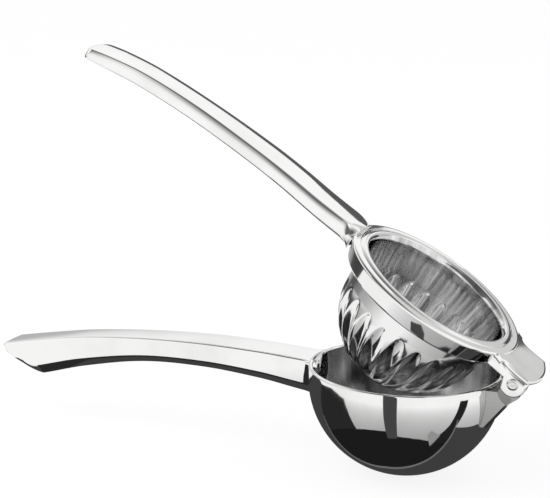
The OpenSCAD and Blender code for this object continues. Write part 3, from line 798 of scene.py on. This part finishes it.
def makeSheet(name, points, material):
    # One flat face through its corners
    mesh = bpy.data.meshes.new(name)
    mesh.from_pydata(points, [], [list(range(len(points)))])
    mesh.materials.append(material)
    return addObject(name, mesh)


def makeFloor(s):
    h = s["floorHalf"]
    floor = makeSheet("Floor", [(-h, -h, 0), (h, -h, 0), (h, h, 0), (-h, h, 0)],
                      paperMaterial("PalePaper", s["floorColour"], s["floorLift"]))
    floor.visible_glossy = False


def makeMat(name, m, height):
    x, second = np.transpose(m["corners"])
    if "standAt" in m:
        points = np.stack([x, m["standAt"] + 0 * x, height + second], axis=-1)
    else:
        points = np.stack([x, second, height + 0 * x], axis=-1)
    mat = makeSheet(name, (points * mm).tolist(), matMaterial(name + "Cloth", m))
    mat.location = (bowlAxisX * mm, 0, 0)
    # Seen by glossy rays alone: the sheet is a painted reflection
    for ray in ("camera", "diffuse", "shadow", "transmission"):
        setattr(mat, "visible_" + ray, False)


def toneRamp(tree, value, stops):
    # A ramp through (place, tone) stops
    ramp = addNode(tree, "ShaderNodeValToRGB", {"Fac": value})
    while len(ramp.color_ramp.elements) < len(stops):
        ramp.color_ramp.elements.new(1.0)
    for element, (place, tone) in zip(ramp.color_ramp.elements, stops):
        element.position = place
        element.color = (tone, tone, tone, 1)
    return ramp.outputs["Color"]


def makeSky(s):
    # Plain white for the camera and for soft light. Reflections see white with a dark ceiling, and
    # a backdrop at one side that fades upwards and across.
    world = bpy.data.worlds.new("Studio")
    bpy.context.scene.world = world
    world.use_nodes = True
    tree = world.node_tree
    back = tree.nodes["Background"]
    back.inputs["Color"].default_value = (1, 1, 1, 1)
    direction = addNode(tree, "ShaderNodeTexCoord").outputs["Generated"]
    height = addNode(tree, "ShaderNodeSeparateXYZ", {0: direction}).outputs["Z"]
    a = math.radians(s["backdropAzimuth"])
    toward = addNode(tree, "ShaderNodeVectorMath",
                     {0: direction, 1: (math.sin(a), -math.cos(a), 0)}, operation="DOT_PRODUCT")
    across = toneRamp(tree, toward.outputs["Value"], s["backdropAcross"])
    upward = toneRamp(tree, height, s["backdrop"])
    wall = addNode(tree, "ShaderNodeMix", {0: upward, 2: 1.0, 3: across})
    ceiling = addNode(tree, "ShaderNodeMapRange",
                      {"Value": height, "From Min": s["ceilingFrom"], "From Max": s["ceilingTo"],
                       "To Min": 1.0, "To Max": s["ceiling"]})
    mirrored = addNode(tree, "ShaderNodeMath", {0: wall.outputs[0], 1: ceiling.outputs["Result"]},
                       operation="MULTIPLY")
    glossy = addNode(tree, "ShaderNodeLightPath").outputs["Is Glossy Ray"]
    strength = addNode(tree, "ShaderNodeMix",
                       {0: glossy, 2: s["sky"], 3: mirrored.outputs["Value"]})
    tree.links.new(strength.outputs[0], back.inputs["Strength"])


def turnTo(right, up, back):
    return Matrix(np.column_stack([right, up, back]).tolist()).to_euler()


softbox = {
    "place": (-0.5, -0.6, 0.9), "aim": (0, 0, 0.04), "size": (0.8, 0.8),      # metres
    "power": 6.0,
}


def makeLamp(name, s):
    lamp = bpy.data.lights.new(name, "AREA")
    lamp.shape = "RECTANGLE"
    lamp.size, lamp.size_y = s["size"]
    lamp.energy = s["power"]
    holder = addObject(name, lamp)
    holder.location = s["place"]
    holder.visible_glossy = False
    back = np.array(s["place"]) - np.array(s["aim"])
    back = back / np.linalg.norm(back)
    notAlong = (0, 1, 0.01)           # any direction that the lamp doesn't shine along
    right = np.cross(notAlong, back)
    right = right / np.linalg.norm(right)
    holder.rotation_euler = turnTo(right, np.cross(back, right), back)


view = {
    "azimuth": 21.1235, "elevation": 12.8352, "roll": 1.2805, "distance": 600.0,
    "aim": (-49.33, 42.27),           # millimetres right and up from the bowl's mouth
    "focal": 1625.53, "imageWidth": 550, "sensor": 36.0,
    "clipEnd": 50,                    # metres
}


def makeCamera(v):
    # Placed by its direction round the bowl's mouth; the focal length is in pixels of the image
    az, el, roll = (math.radians(v[k]) for k in ("azimuth", "elevation", "roll"))
    back = np.array([math.sin(az) * math.cos(el), -math.cos(az) * math.cos(el), math.sin(el)])
    right = np.array([math.cos(az), math.sin(az), 0])
    up = np.cross(right, -back)
    place = right * v["aim"][0] + up * v["aim"][1] + back * v["distance"]
    data = bpy.data.cameras.new("Camera")
    data.sensor_fit = "HORIZONTAL"
    data.sensor_width = v["sensor"]
    data.lens = v["focal"] / v["imageWidth"] * v["sensor"]
    data.clip_end = v["clipEnd"]
    camera = addObject("Camera", data)
    camera.location = toWorld(place, False)
    camera.rotation_euler = turnTo(right * math.cos(roll) + up * math.sin(roll),
                                   up * math.cos(roll) - right * math.sin(roll), back)
    bpy.context.scene.camera = camera


makeFloor(studio)
for layer, (matName, mat) in enumerate(mats.items()):
    makeMat(matName, mat, studio["matHeight"] * (1 - layer / (2 * len(mats))))
makeSky(studio)
makeLamp("SoftboxLeft", softbox)
makeCamera(view)
bpy.context.scene.view_settings.view_transform = "Standard"
print("Studio made")
